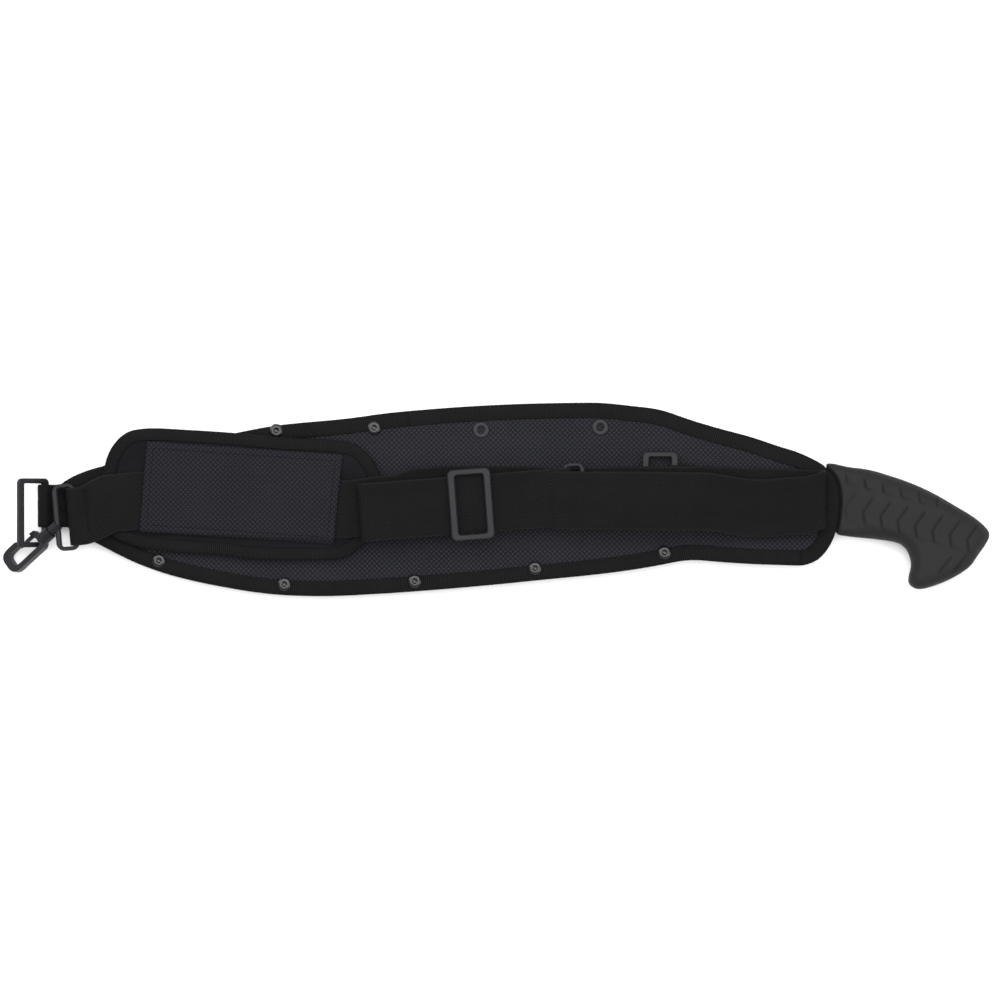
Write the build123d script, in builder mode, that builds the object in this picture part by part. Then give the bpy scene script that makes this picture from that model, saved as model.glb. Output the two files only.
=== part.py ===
from build123d import *
import math
import os

# A machete in a stitched sheath with a padded shoulder strap, lying on its plain front face.
# The origin is a point of that flat face. +X runs from the sheath's tip to the grip and +Z
# points out of the back, where the strap lies. All sizes are millimetres.

# ---- sheath ----
fabric_t = 1.2            # woven cloth of each panel
liner_t = 1.0             # plastic stiffener behind each panel
blade_t = 2.8
blade_gap = 0.4           # free play on each side of the blade
field_rise = 1.8          # the padded middle of a panel stands this much over its rim
field_inset = 22.0
binding_t = 0.8
binding_w = 10.0
liner_inset = 10.6
joint_gap = 0.3           # clearance between pieces that move past each other

rim_low_z = field_rise
front_inner_z = rim_low_z + fabric_t
cavity_low_z = front_inner_z + liner_t
mid_z = cavity_low_z + blade_gap + blade_t / 2
cavity_high_z = 2 * mid_z - cavity_low_z
back_inner_z = 2 * mid_z - front_inner_z
rim_high_z = 2 * mid_z - rim_low_z
field_high_z = 2 * mid_z
reach = 80.0              # longer than anything is thick, for through cuts

# ---- rivets and snaps ----
rivet_points = [(-194.7, -38.6), (-112.2, -54.1), (-26.4, -52.1), (52.8, -43.6),
                (137.9, -33.3), (-117.5, 46.9), (-53.1, 48.8)]
rivet_r = 4.5
rivet_shank_r = 2.1
rivet_dome = 1.6
rivet_dimple_r = 1.6
rivet_dimple_depth = 0.7
rivet_foot = 0.9
snap_points = [(17.2, 47.3), (95.7, 49.1)]
snap_cap_r = 5.8
snap_cap_t = 1.5
snap_post_r = 1.5
snap_socket_r = 5.2
snap_socket_t = 2.0
snap_socket_hole_r = 2.1
snap_stud_r = 1.9
snap_base_r = 4.4
snap_base_t = 0.8
eyelet_r = 5.5
eyelet_hole_r = 2.0
eyelet_barrel_r = 2.9
eyelet_t = 0.9

# ---- webbing and rings ----
web_w = 38.0
web_t = 1.6
web_play = 0.3            # webbing to whatever it runs round or past
ring_side_bar = 4.5
ring_end_bar = 3.4
ring_t = 3.4
slot_play = 0.6           # how much wider a ring's or loop's slot is than the webbing
ring_slot_w = web_w + slot_play
ring_slot_x = 14.5
tab_w = 28.0
loop_r = math.hypot(ring_side_bar, ring_t) / 2 + web_play + web_t / 2
tip_ring_tilt = 38.0
tip_bar = (-270.0, -7.1, mid_z)
tip_tab_y = -2.6
tip_tab_tail_x = -252.0
side_ring_tilt = -6.0
side_bar = (144.5, 10.2, field_high_z + 0.1 + web_t / 2 + loop_r)
side_tab_tail_x = 158.0

# ---- strap route in side view: height of the webbing's middle ----
pad_low_z = field_high_z + 0.9
pad_t = 5.0
pad_rim_t = 3.5
pad_top_z = pad_low_z + pad_t
run_z = pad_top_z + web_play + web_t / 2
flat_z = field_high_z + web_play + web_t / 2
slider_web_z = 26.2
strap_y = 2.0
return_tilt = 4.4
slider_at = (10.7, -1.5)
fold_x = 243.0

# ---- swivel hooks ----
dloop_x = 15.5
dloop_end_bar = 2.7
dloop_y = web_w + slot_play + 2 * dloop_end_bar
dloop_t = 4.5
dloop_bar = 3.6
dloop_r = math.hypot(dloop_bar, dloop_t) / 2 + web_play + web_t / 2
neck_r = 3.4
barrel_r = 4.5
barrel_len = 8.0
pin_r = 1.5
pin_head_r = 2.4
pin_head_t = 1.6
hook_t = 5.5
gate_t = 2.4
gate_root = (10.4, -6.2)
gate_eye_r = 1.7
gate_pin_r = 0.8
running_gap = 0.08
tip_hook_at = (-255.2, -10.0, 16.6)
tip_neck_y = -6.5
tip_hook_turn = 222.0
tip_hook_pitch = -15.0
tip_hook_roll = 20.0
tip_loop_turn = 5.0
strap_hook_turn = 6.0
strap_hook_pitch = 9.0
strap_hook_x = 79.0
strap_hook_at = (strap_hook_x,
                 slider_at[1] + (strap_hook_x - slider_at[0]) * math.tan(math.radians(return_tilt)),
                 flat_z + web_t + web_play + dloop_r)

# ---- machete ----
draw_angle = 5.5
grip_t = 24.0
rib_h = 0.9
grip_nose_t = 10.0

os.makedirs("parts", exist_ok=True)


def save(part, label):
    """Names a finished piece and writes it as its own file."""
    part.label = label
    export_step(part, f"parts/{label}.step")


# ================================================================ sheath
def drawn_in(outline, inset, spacing=14.0):
    """A parallel outline inside the given one, redrawn as plain splines and arcs."""
    with BuildSketch(mode=Mode.PRIVATE) as inner:
        with BuildLine():
            for edge in offset(outline, amount=-inset, mode=Mode.PRIVATE).wire().edges():
                if edge.geom_type == GeomType.LINE:
                    Line(edge @ 0, edge @ 1)
                elif edge.geom_type == GeomType.CIRCLE:
                    ThreePointArc(edge @ 0, edge @ 0.5, edge @ 1)
                else:
                    steps = max(3, round(edge.length / spacing))
                    Spline(*[edge @ (i / steps) for i in range(steps + 1)],
                           tangents=[edge % 0, edge % 1])
        make_face()
    return inner.sketch


def sheath_outline(inset=0.0):
    """The sheath seen from above, drawn in by inset from the outer edge of its binding."""
    with BuildSketch(mode=Mode.PRIVATE) as outline:
        with BuildLine():
            Spline((-259, -14.5), (-211, -39.6), (-151.8, -56.1), (-82.5, -62), (16.5, -55.4),
                   (115.5, -44.9), (155, -38.3), (194.7, -40.9), (229, -42.1))
            Spline((229, -42.1), (245.5, -31), (253.3, 2.8), (242.2, 24.8))
            Spline((242.2, 24.8), (194.7, 42.9), (135.3, 60.7), (85, 65.6), (16.5, 63.4),
                   (-72.6, 54.8), (-145.2, 45.2), (-231, 23.8), (-258.7, 12.5))
            ThreePointArc((-258.7, 12.5), (-264.7, -3), (-259, -14.5))
        make_face()
    return drawn_in(outline.sketch, inset) if inset else outline.sketch


def open_side():
    """The stretch of edge, from the back of the blade round the mouth, that isn't sewn shut."""
    with BuildSketch(mode=Mode.PRIVATE) as zone:
        with BuildLine():
            Polyline((-30, 80), (-30, 30), (200, 0), (222, -26), (231, -50), (270, -50), (270, 80),
                     close=True)
        make_face()
    return zone.sketch


def edge_band(inner, closed):
    """A band along the sheath's edge, from the outline in to inner: its closed or open part."""
    with BuildSketch(mode=Mode.PRIVATE) as band:
        add(sheath_outline())
        add(sheath_outline(inner), mode=Mode.SUBTRACT)
        add(open_side(), mode=Mode.SUBTRACT if closed else Mode.INTERSECT)
    return band.sketch


def holes(points, radius):
    """Circles to cut right through a piece, starting well below it."""
    with BuildSketch(Plane.XY.offset(-reach), mode=Mode.PRIVATE) as circles:
        with Locations(*points):
            Circle(radius)
    return circles.sketch


def panel(rim_z, outward):
    """One cloth panel: a thin rim with its padded middle standing outward from it."""
    with BuildPart() as cloth:
        with BuildSketch(Plane.XY.offset(rim_z)):
            add(sheath_outline(binding_t))
        extrude(amount=-outward * fabric_t)
        with BuildSketch(Plane.XY.offset(rim_z)):
            add(sheath_outline(field_inset))
        extrude(amount=outward * field_rise)
        field = cloth.faces().filter_by(Axis.Z).sort_by(Axis.Z)[-1 if outward > 0 else 0]
        chamfer(field.edges(), field_rise - 0.2)
        extrude(holes(rivet_points, rivet_shank_r), amount=2 * reach, mode=Mode.SUBTRACT)
        extrude(holes(snap_points, snap_post_r if outward < 0 else eyelet_barrel_r),
                amount=2 * reach, mode=Mode.SUBTRACT)
    return cloth.part


def liner(low_z, hole_r):
    """Stiff sheet behind a panel, ending just inside the binding."""
    with BuildPart() as sheet:
        with BuildSketch(Plane.XY.offset(low_z)):
            add(sheath_outline(liner_inset))
        extrude(amount=liner_t)
        extrude(holes(snap_points, hole_r), amount=2 * reach, mode=Mode.SUBTRACT)
        extrude(holes(rivet_points, rivet_shank_r), amount=2 * reach, mode=Mode.SUBTRACT)
    return sheet.part


def folded_binding(low_z, high_z, closed):
    """Tape folded round an edge that lies between two heights."""
    with BuildPart() as tape:
        with BuildSketch(Plane.XY.offset(low_z - binding_t)):
            add(edge_band(binding_w, closed))
        extrude(amount=high_z - low_z + 2 * binding_t)
        with BuildSketch(Plane.XY.offset(low_z)):
            add(sheath_outline(binding_t))
        extrude(amount=high_z - low_z, mode=Mode.SUBTRACT)
        if closed:
            extrude(holes(rivet_points, rivet_shank_r), amount=2 * reach, mode=Mode.SUBTRACT)
            extrude(tip_tab_slot(), amount=web_t + 0.2, both=True, mode=Mode.SUBTRACT)
    return tape.part


def tip_tab_slot():
    """The slit in the sheath's tip where the ring's tab comes out."""
    with BuildSketch(Plane.XY.offset(mid_z), mode=Mode.PRIVATE) as slit:
        with Locations((tip_bar[0] + 10, tip_tab_y)):
            Rectangle(40, tab_w + 2 * web_play)
    return slit.sketch


save(panel(rim_low_z, -1), "front_panel")
save(panel(rim_high_z, 1), "back_panel")
save(liner(front_inner_z, snap_post_r), "front_liner")
save(liner(cavity_high_z, eyelet_barrel_r), "back_liner")

with BuildPart() as welt:
    with BuildSketch(Plane.XY.offset(front_inner_z)):
        add(edge_band(binding_w, True))
        add(sheath_outline(binding_t), mode=Mode.INTERSECT)
    extrude(amount=back_inner_z - front_inner_z)
    extrude(holes(rivet_points, rivet_shank_r), amount=2 * reach, mode=Mode.SUBTRACT)
    extrude(tip_tab_slot(), amount=web_t + 0.2, both=True, mode=Mode.SUBTRACT)
save(welt.part, "welt")

save(folded_binding(rim_low_z, rim_high_z, True), "edge_binding")
save(folded_binding(rim_low_z, front_inner_z, False), "front_mouth_binding")
save(folded_binding(back_inner_z, rim_high_z, False), "back_mouth_binding")

# A rolled rivet: dimpled dome on the back, flat foot on the front.
with BuildPart() as rivet:
    with BuildSketch(Plane.XZ):
        with BuildLine():
            foot_z = rim_low_z - binding_t
            dome_z = rim_high_z + binding_t
            Polyline((0, foot_z - rivet_foot), (rivet_r - 0.4, foot_z - rivet_foot),
                     (rivet_r, foot_z - 0.3), (rivet_r, foot_z), (rivet_shank_r, foot_z),
                     (rivet_shank_r, dome_z), (rivet_r, dome_z))
            Spline((rivet_r, dome_z), (0.72 * rivet_r, dome_z + 0.85 * rivet_dome),
                   (rivet_dimple_r, dome_z + rivet_dome), tangents=[(0, 1), (-1, 0)])
            Line((rivet_dimple_r, dome_z + rivet_dome),
                 (0.7 * rivet_dimple_r, dome_z + rivet_dome - rivet_dimple_depth))
            Line((0.7 * rivet_dimple_r, dome_z + rivet_dome - rivet_dimple_depth),
                 (0, dome_z + rivet_dome - rivet_dimple_depth))
            Line((0, dome_z + rivet_dome - rivet_dimple_depth), (0, foot_z - rivet_foot))
        make_face()
    revolve(axis=Axis.Z)


def at_each(points, piece):
    """One node that holds a copy of a fastener at each point."""
    with BuildPart() as group:
        with Locations(*points):
            add(piece)
    return group.part


save(at_each(rivet_points, rivet.part), "edge_rivets")


def turned(profile):
    """A round fastener from its half section, given as (radius, height) corners."""
    with BuildPart() as piece:
        with BuildSketch(Plane.XZ):
            with BuildLine():
                Polyline(*profile, close=True)
            make_face()
        revolve(axis=Axis.Z)
    return piece.part


socket_top_z = cavity_low_z + snap_socket_t
stud_low_z = cavity_high_z - snap_base_t - 1.6
snap_cap = turned([(0, rim_low_z - snap_cap_t), (snap_cap_r - 1.2, rim_low_z - snap_cap_t),
                   (snap_cap_r, rim_low_z - 0.5), (snap_cap_r, rim_low_z),
                   (snap_post_r, rim_low_z), (snap_post_r, cavity_low_z + 0.9),
                   (0, cavity_low_z + 0.9)])
snap_socket = turned([(snap_socket_hole_r, cavity_low_z), (snap_socket_r, cavity_low_z),
                      (snap_socket_r, socket_top_z - 0.5), (snap_socket_r - 0.5, socket_top_z),
                      (snap_socket_hole_r, socket_top_z)])
snap_stud = turned([(0, stud_low_z), (snap_stud_r - 0.3, stud_low_z), (snap_stud_r, stud_low_z + 0.3),
                    (snap_stud_r, cavity_high_z - snap_base_t),
                    (snap_base_r, cavity_high_z - snap_base_t), (snap_base_r, cavity_high_z),
                    (0, cavity_high_z)])
snap_eyelet = turned([(eyelet_hole_r, cavity_high_z), (eyelet_barrel_r, cavity_high_z),
                      (eyelet_barrel_r, rim_high_z), (eyelet_r, rim_high_z),
                      (eyelet_r, rim_high_z + 0.4), (eyelet_r - 0.6, rim_high_z + eyelet_t),
                      (eyelet_hole_r + 0.5, rim_high_z + eyelet_t),
                      (eyelet_hole_r, rim_high_z + 0.4)])
save(at_each(snap_points, snap_cap), "snap_caps")
save(at_each(snap_points, snap_socket), "snap_sockets")
save(at_each(snap_points, snap_stud), "snap_studs")
save(at_each(snap_points, snap_eyelet), "snap_eyelets")


# ================================================================ webbing and rings
def side_view(x, y, turn=0.0):
    """A vertical plane through a point: local x runs along the strap and local y is up."""
    a = math.radians(turn)
    return Plane(origin=(x, y, 0), x_dir=(math.cos(a), math.sin(a), 0),
                 z_dir=(math.sin(a), -math.cos(a), 0))


def webbing(plane, corners, radii, width=web_w):
    """A strip of webbing whose middle follows a route drawn in side view."""
    with BuildPart() as strip:
        with BuildLine(plane) as route:
            FilletPolyline(*corners, radius=radii)
        start = route.line @ 0
        with BuildSketch(Plane(origin=start, x_dir=plane.z_dir, z_dir=route.line % 0)):
            Rectangle(width, web_t)
        sweep(path=route.line)
    return strip.part


def ring(bar, tilt):
    """Moulded rectangular ring. Its held bar runs along Y through bar, the free one lies at -X."""
    a = math.radians(tilt)
    frame = Plane(origin=bar, x_dir=(-math.cos(a), 0, math.sin(a)),
                  z_dir=(math.sin(a), 0, math.cos(a)))
    outer_x = ring_slot_x + 2 * ring_side_bar
    outer_y = ring_slot_w + 2 * ring_end_bar
    with BuildPart() as piece:
        with BuildSketch(frame):
            with Locations(((ring_slot_x + ring_side_bar) / 2, 0)):
                RectangleRounded(outer_x, outer_y, 3.2)
                RectangleRounded(ring_slot_x, ring_slot_w, 0.8, mode=Mode.SUBTRACT)
        extrude(amount=ring_t / 2, both=True)
        chamfer(piece.faces().sort_by(Axis(bar, frame.z_dir))[-1].edges(), 0.6)
        chamfer(piece.faces().sort_by(Axis(bar, frame.z_dir))[0].edges(), 0.6)
    return piece.part


def ring_tab(bar, y, tail_x):
    """Webbing doubled round a ring's held bar, its two ends laid together as far as tail_x."""
    x, z = bar[0], bar[2]
    half = web_t / 2 + 0.05
    corners = [(tail_x, z - half), (x + 4.6, z - half), (x + 1.2, z - loop_r),
               (x - loop_r, z - loop_r), (x - loop_r, z + loop_r), (x + 1.2, z + loop_r),
               (x + 4.6, z + half), (tail_x, z + half)]
    radii = [1.0, 1.0, loop_r - 0.1, loop_r - 0.1, 1.0, 1.0]
    return webbing(side_view(0, y), corners, radii, tab_w)


save(ring(tip_bar, tip_ring_tilt), "tip_ring")
save(ring(side_bar, side_ring_tilt), "side_ring")
save(ring_tab(tip_bar, tip_tab_y, tip_tab_tail_x), "tip_tab")
save(ring_tab(side_bar, side_bar[1], side_tab_tail_x), "side_tab")


# ================================================================ swivel hooks
def dloop(at, turn):
    """Moulded loop of a swivel hook, its long axis near Y."""
    with BuildPart() as piece:
        with BuildSketch(dloop_plane(at, turn)):
            RectangleRounded(dloop_x, dloop_y, 5.5)
            RectangleRounded(dloop_x - 2 * dloop_bar, web_w + slot_play, 1.5, mode=Mode.SUBTRACT)
        extrude(amount=dloop_t / 2, both=True)
        chamfer(piece.edges().filter_by(GeomType.LINE).filter_by(Plane.XY), 0.8)
    return piece.part


def dloop_plane(at, turn):
    """The flat plane of a hook's loop, turned about Z from lying along Y."""
    a = math.radians(turn)
    return Plane(origin=at, x_dir=(math.cos(a), math.sin(a), 0), z_dir=(0, 0, 1))


def neck_point(at, side, neck_y, turn):
    """Middle of the boss on the loop's rim that the hook's pin stands in."""
    return dloop_plane(at, turn).from_local_coords(Vector(side * (dloop_x / 2 + 0.4), neck_y, 0))


def hook_frame(neck, turn, pitch, roll=0.0):
    """Frame of a hook: x along its swivel axis, away from the loop, and z up but for its roll."""
    t, p, r = math.radians(turn), math.radians(pitch), math.radians(roll)
    along = Vector(math.cos(t) * math.cos(p), math.sin(t) * math.cos(p), math.sin(p))
    up = Vector(-math.cos(t) * math.sin(p), -math.sin(t) * math.sin(p), math.cos(p))
    up = up * math.cos(r) - up.cross(along) * math.sin(r)
    return Plane(origin=neck + along * (neck_r + joint_gap), x_dir=along, z_dir=up)


def swivel_pin(frame):
    """Boss on the loop's rim and the headed pin that runs from it through the hook's barrel."""
    with BuildPart() as pin:
        with BuildSketch(Plane(origin=frame.origin - frame.x_dir * (2 * neck_r + joint_gap),
                               z_dir=frame.x_dir)):
            Circle(neck_r)
        extrude(amount=2 * neck_r)
        with BuildSketch(Plane(origin=frame.origin - frame.x_dir * 1.5, z_dir=frame.x_dir)):
            Circle(pin_r)
        extrude(amount=barrel_len - 1)
        with BuildSketch(Plane(origin=frame.origin + frame.x_dir * (barrel_len - 2.5),
                               z_dir=frame.x_dir)):
            Circle(pin_head_r)
        extrude(amount=pin_head_t)
    return pin.part


def hook_body(frame):
    """Moulded hook: a round barrel on the pin, a tapering shank and a hooked end with a lip."""
    with BuildPart() as body:
        with BuildSketch(Plane(origin=frame.origin, z_dir=frame.x_dir)):
            Circle(barrel_r)
        extrude(amount=barrel_len)
        with BuildSketch(frame):
            with BuildLine():
                Polyline((30.0, 5.9), (9.5, 5.9), (7.0, 4.4), (7.0, -4.4), (8.4, -8.0), (12.2, -8.4),
                         (12.0, -6.4), (10.0, -2.0), (10.6, 2.5), (29.0, 2.5))
                Spline((29.0, 2.5), (33.2, -2.2), (29.0, -7.0), tangents=[(1, 0), (-1, 0)])
                Polyline((29.0, -7.0), (21.4, -7.2), (21.4, -9.2), (24.2, -10.8), (30.0, -10.8))
                Spline((30.0, -10.8), (38.0, -2.5), (30.0, 5.9), tangents=[(1, 0), (-1, 0)])
            make_face()
        extrude(amount=hook_t / 2, both=True)
        # the barrel turns on the pin, and the pin's head sits in a pocket open at the gate
        with BuildSketch(Plane(origin=frame.origin - frame.x_dir, z_dir=frame.x_dir)):
            Circle(pin_r + running_gap)
        extrude(amount=barrel_len, mode=Mode.SUBTRACT)
        with BuildSketch(Plane(origin=frame.origin + frame.x_dir * (barrel_len - 2.8),
                               z_dir=frame.x_dir)):
            Circle(pin_head_r + joint_gap)
        extrude(amount=pin_head_t + 0.6, mode=Mode.SUBTRACT)
        # a slot between two cheeks takes the gate's eye
        with BuildSketch(frame):
            with Locations(gate_root):
                Circle(gate_eye_r + joint_gap)
            with Locations((gate_root[0] + 6, gate_root[1] - 0.1)):
                Rectangle(12, 5.8)
        extrude(amount=gate_t / 2 + joint_gap / 2, both=True, mode=Mode.SUBTRACT)
        with BuildSketch(frame):
            with Locations(gate_root):
                Circle(gate_pin_r)
        extrude(amount=hook_t / 2 - 0.2, both=True)
    return body.part


def hook_gate(frame):
    """Sprung tongue that shuts the hook, turning on the pin between the hook's cheeks."""
    with BuildPart() as tongue:
        with BuildSketch(frame):
            with Locations(gate_root):
                Circle(gate_eye_r)
            with BuildLine():
                Polyline((gate_root[0], gate_root[1] - 1.2), (gate_root[0] + 13, -7.0),
                         (gate_root[0] + 13, -5.5), (gate_root[0], gate_root[1] + 1.1),
                         close=True)
            make_face()
            with Locations(gate_root):
                Circle(gate_pin_r + running_gap, mode=Mode.SUBTRACT)
        extrude(amount=gate_t / 2, both=True)
    return tongue.part


tip_neck = neck_point(tip_hook_at, -1, tip_neck_y, tip_loop_turn)
tip_frame = hook_frame(tip_neck, tip_hook_turn, tip_hook_pitch, tip_hook_roll)
strap_neck = neck_point(strap_hook_at, 1, 0, return_tilt)
strap_frame = hook_frame(strap_neck, strap_hook_turn, strap_hook_pitch)

for name, at, turn, frame in [("tip_hook", tip_hook_at, tip_loop_turn, tip_frame),
                              ("strap_hook", strap_hook_at, return_tilt, strap_frame)]:
    with BuildPart() as loop_and_pin:
        add(dloop(at, turn))
        add(swivel_pin(frame))
    save(loop_and_pin.part, f"{name}_loop")
    save(hook_body(frame), f"{name}_body")
    save(hook_gate(frame), f"{name}_gate")

# ================================================================ strap
tip_bar_mid = dloop_plane(tip_hook_at, tip_loop_turn).from_local_coords(
    Vector((dloop_x - dloop_bar) / 2, 0, 0))
tip_z = tip_hook_at[2]
strap_end_plane = side_view(tip_bar_mid.X, tip_bar_mid.Y, tip_loop_turn)
save(webbing(strap_end_plane,
             [(11.5, run_z - web_t - 0.1), (7.0, run_z - web_t - 0.1), (3.0, tip_z - dloop_r),
              (-dloop_r, tip_z - dloop_r), (-dloop_r, tip_z + dloop_r), (6.0, tip_z + dloop_r),
              (10.0, run_z + web_t), (19.0, run_z + web_t)],
             [0.9, 0.9, dloop_r - 0.1, dloop_r - 0.1, 2.0, 2.0]), "strap_end")

pad_run_tilt = -2.5
pad_run_plane = side_view(-139.5, -2.0, pad_run_tilt)
save(webbing(pad_run_plane, [(-97.0, run_z), (0, run_z + 0.001), (75.0, run_z)], [400]), "strap_pad_run")

ring_top_z = side_bar[2] + loop_r + web_t + web_play
long_run = [(-63.6, run_z), (-28, run_z), (-4, flat_z), (106, flat_z), (122, 17.2),
            (138, ring_top_z), (152, ring_top_z), (180, flat_z), (fold_x, flat_z),
            (fold_x, 19.4), (225, 17.0), (199, 15.6), (150, 27.5), (132, 31.0), (100, slider_web_z),
            (64.4, slider_web_z)]
long_radii = [20, 20, 20, 8, 8, 12, 12, 3.2, 3.2, 30, 20, 20, 20, 30]
save(webbing(side_view(0, strap_y), long_run, long_radii), "strap_long_run")

# The return: through the slider, folded back, round the hook's loop and back to the slider.
x0 = slider_at[0]
strap_loop_bar_x = strap_hook_at[0] - (dloop_x - dloop_bar) / 2 - x0
loop_z = strap_hook_at[2]
strap_fold_r = dloop_r + 0.3
first_lift = 2.7           # each layer's middle over the middle of the run below it
second_lift = 4.6
return_run = [(62.5 - x0, slider_web_z), (-6 - x0, slider_web_z), (-30 - x0, 27.6),
              (-61.4 - x0, 27.6), (-61.4 - x0, run_z + first_lift), (-30 - x0, run_z + first_lift),
              (-4 - x0, flat_z + first_lift),
              (strap_loop_bar_x + strap_fold_r, loop_z - strap_fold_r),
              (strap_loop_bar_x + strap_fold_r, loop_z + strap_fold_r),
              (strap_loop_bar_x - 5, loop_z + strap_fold_r), (53 - x0, flat_z + second_lift),
              (-4 - x0, flat_z + second_lift), (-30 - x0, run_z + second_lift), (-56.5 - x0, run_z + second_lift),
              (-56.5 - x0, 25.7), (-30 - x0, 25.7), (-7 - x0, 24.3), (-4.6 - x0, 24.3)]
return_radii = [20, 20, 3.4, 3.4, 20, 20, strap_fold_r - 0.1, strap_fold_r - 0.1, 2, 2, 18, 18, 1.4,
                1.4, 18, 2]
return_plane = side_view(slider_at[0], slider_at[1], return_tilt)
save(webbing(return_plane, return_run, return_radii), "strap_return")

# ================================================================ slider
slider_x = 28.5
slider_y = 46.5
slider_bar = 5.0
slider_window_y = web_w + 0.7
slider_bar_t = 3.0
centre_bar_w = 5.5
centre_bar_z = 21.8
slider_low_z = slider_web_z + web_t / 2 + web_play
slider_plane = Plane(origin=(slider_at[0], slider_at[1], 0),
                     x_dir=(math.cos(math.radians(return_tilt)), math.sin(math.radians(return_tilt)), 0),
                     z_dir=(0, 0, 1))
with BuildPart() as slider:
    with BuildSketch(slider_plane.offset(slider_low_z)):
        RectangleRounded(slider_x, slider_y, 4.0)
        RectangleRounded(slider_x - 2 * slider_bar, slider_window_y, 1.5, mode=Mode.SUBTRACT)
    extrude(amount=slider_bar_t)
    chamfer(slider.faces().sort_by(Axis.Z)[-1].edges(), 0.8)
    with BuildSketch(slider_plane.offset(centre_bar_z - slider_bar_t / 2)):
        with GridLocations(0, (slider_y + slider_window_y) / 2, 1, 2):
            Rectangle(centre_bar_w + 6, (slider_y - slider_window_y) / 2)
    extrude(amount=slider_low_z - centre_bar_z + slider_bar_t / 2)
    with BuildSketch(slider_plane.offset(centre_bar_z - slider_bar_t / 2)):
        Rectangle(centre_bar_w, slider_y - 2)
    extrude(amount=slider_bar_t)
save(slider.part, "slider")

wrap_x = centre_bar_w / 2 + web_play + web_t / 2
wrap_z = slider_bar_t / 2 + web_play + web_t / 2
save(webbing(return_plane,
             [(-14.9, 24.3), (wrap_x, centre_bar_z + wrap_z), (wrap_x, centre_bar_z - wrap_z),
              (-12.5, centre_bar_z - wrap_z)], [1.6, 1.6]), "slider_tail")


# ================================================================ shoulder pad
def pad_outline(inset=0.0):
    """The pad seen from above: long, with rounded ends, lying slightly askew on the sheath."""
    with BuildSketch(mode=Mode.PRIVATE) as outline:
        with BuildLine():
            FilletPolyline((-233.5, -27), (-204, -31.2), (-140, -38), (-62, -38.4), (-45.5, 0),
                           (-50.5, 38.8), (-210, 49.4), (-233, 33),
                           radius=[12, 60, 60, 24, 60, 20, 26, 22], close=True)
        make_face()
    return drawn_in(outline.sketch, inset) if inset else outline.sketch


pad_binding_w = 8.0
with BuildPart() as pad_body:
    with BuildSketch(Plane.XY.offset(pad_low_z)):
        add(pad_outline(pad_binding_w))
    extrude(amount=pad_t)
    chamfer(pad_body.faces().sort_by(Axis.Z)[-1].edges(), 1.2)
save(pad_body.part, "pad_body")

with BuildPart() as pad_binding:
    with BuildSketch(Plane.XY.offset(pad_low_z)):
        add(pad_outline())
        add(pad_outline(pad_binding_w), mode=Mode.SUBTRACT)
    extrude(amount=pad_rim_t)
save(pad_binding.part, "pad_binding")

patch_t = 1.0
tunnel_top_z = run_z + web_t / 2 + web_play
with BuildPart() as pad_patch:
    with BuildSketch(Plane.XY.offset(pad_top_z)):
        with BuildLine():
            Polyline((-202.1, 37), (-73.5, 29.5), (-79.5, -26.5), (-206.8, -19.3), close=True)
        make_face()
    extrude(amount=tunnel_top_z + patch_t - pad_top_z)
    chamfer(pad_patch.faces().sort_by(Axis.Z)[-1].edges().sort_by(Axis.Y)[-1], 2.0)
    with BuildSketch(pad_run_plane):
        with Locations((0, pad_top_z)):
            Rectangle(200, 2 * (tunnel_top_z - pad_top_z))
    extrude(amount=web_w / 2 + web_play, both=True, mode=Mode.SUBTRACT)
save(pad_patch.part, "pad_patch")


# ================================================================ machete
with BuildPart() as blade:
    with BuildSketch(Plane.XY.offset(mid_z - blade_t / 2)):
        with BuildLine():
            Spline((66, 39.5), (-53, 23.5), (-170, 6), (-243, -5))
            Spline((-243, -5), (-215, -24), (-150, -41), (-80, -45), (0, -31), (110, -16),
                   (180, -15), (236, -17))
            Polyline((236, -17), (258, -17), (258, 17))
            Spline((258, 17), (236, 18.8), (150, 27), (66, 39.5))
        make_face()
        with BuildLine():
            Polyline((257, -14), (290, -18), (318, -36), (334, -30), (300, -2), (257, 14),
                     close=True)
        make_face()
    extrude(amount=blade_t)
save(blade.part, "blade")


def grip_outline():
    """The grip seen from the side of the blade: a drooping pommel with a hooked beak."""
    with BuildSketch(mode=Mode.PRIVATE) as outline:
        with BuildLine():
            Spline((251.9, -22.2), (262.1, -23.3), (288.5, -26.1), (297.2, -31), (300.3, -39),
                   (299.2, -48), (299.5, -54.8), (305.3, -57.6))
            Spline((305.3, -57.6), (316.7, -54.9), (328, -50), (339.4, -42.4), (350, -28.5),
                   (352.6, -21))
            Spline((352.6, -21), (347, -14), (331.8, -3.8), (301.5, 12.1), (272.7, 21.3),
                   (250, 25.6), (242.5, 26))
            Spline((242.5, 26), (249.2, 17.1), (253.3, 6.5), (254.6, -4.5), (253.8, -14.6),
                   (251.9, -22.2))
        make_face()
    return outline.sketch


def grip_profile():
    """The grip seen edge on: slim at the sheath's mouth, then swelling to full thickness."""
    half = grip_t / 2 - rib_h
    with BuildSketch(Plane.XZ, mode=Mode.PRIVATE) as profile:
        with BuildLine():
            Line((236, mid_z), (354, mid_z))
            Spline((354, mid_z), (351, mid_z + 0.7 * half), (342, mid_z + half),
                   tangents=[(0, 1), (-1, 0)])
            Line((342, mid_z + half), (277, mid_z + half))
            Spline((277, mid_z + half), (262, mid_z + 0.8 * half), (236, mid_z + grip_nose_t / 2),
                   tangents=[(-1, 0), (-1, -0.1)])
            Line((236, mid_z + grip_nose_t / 2), (236, mid_z))
        make_face()
        mirror(about=Plane.XZ.offset(-mid_z))
    return profile.sketch


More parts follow.
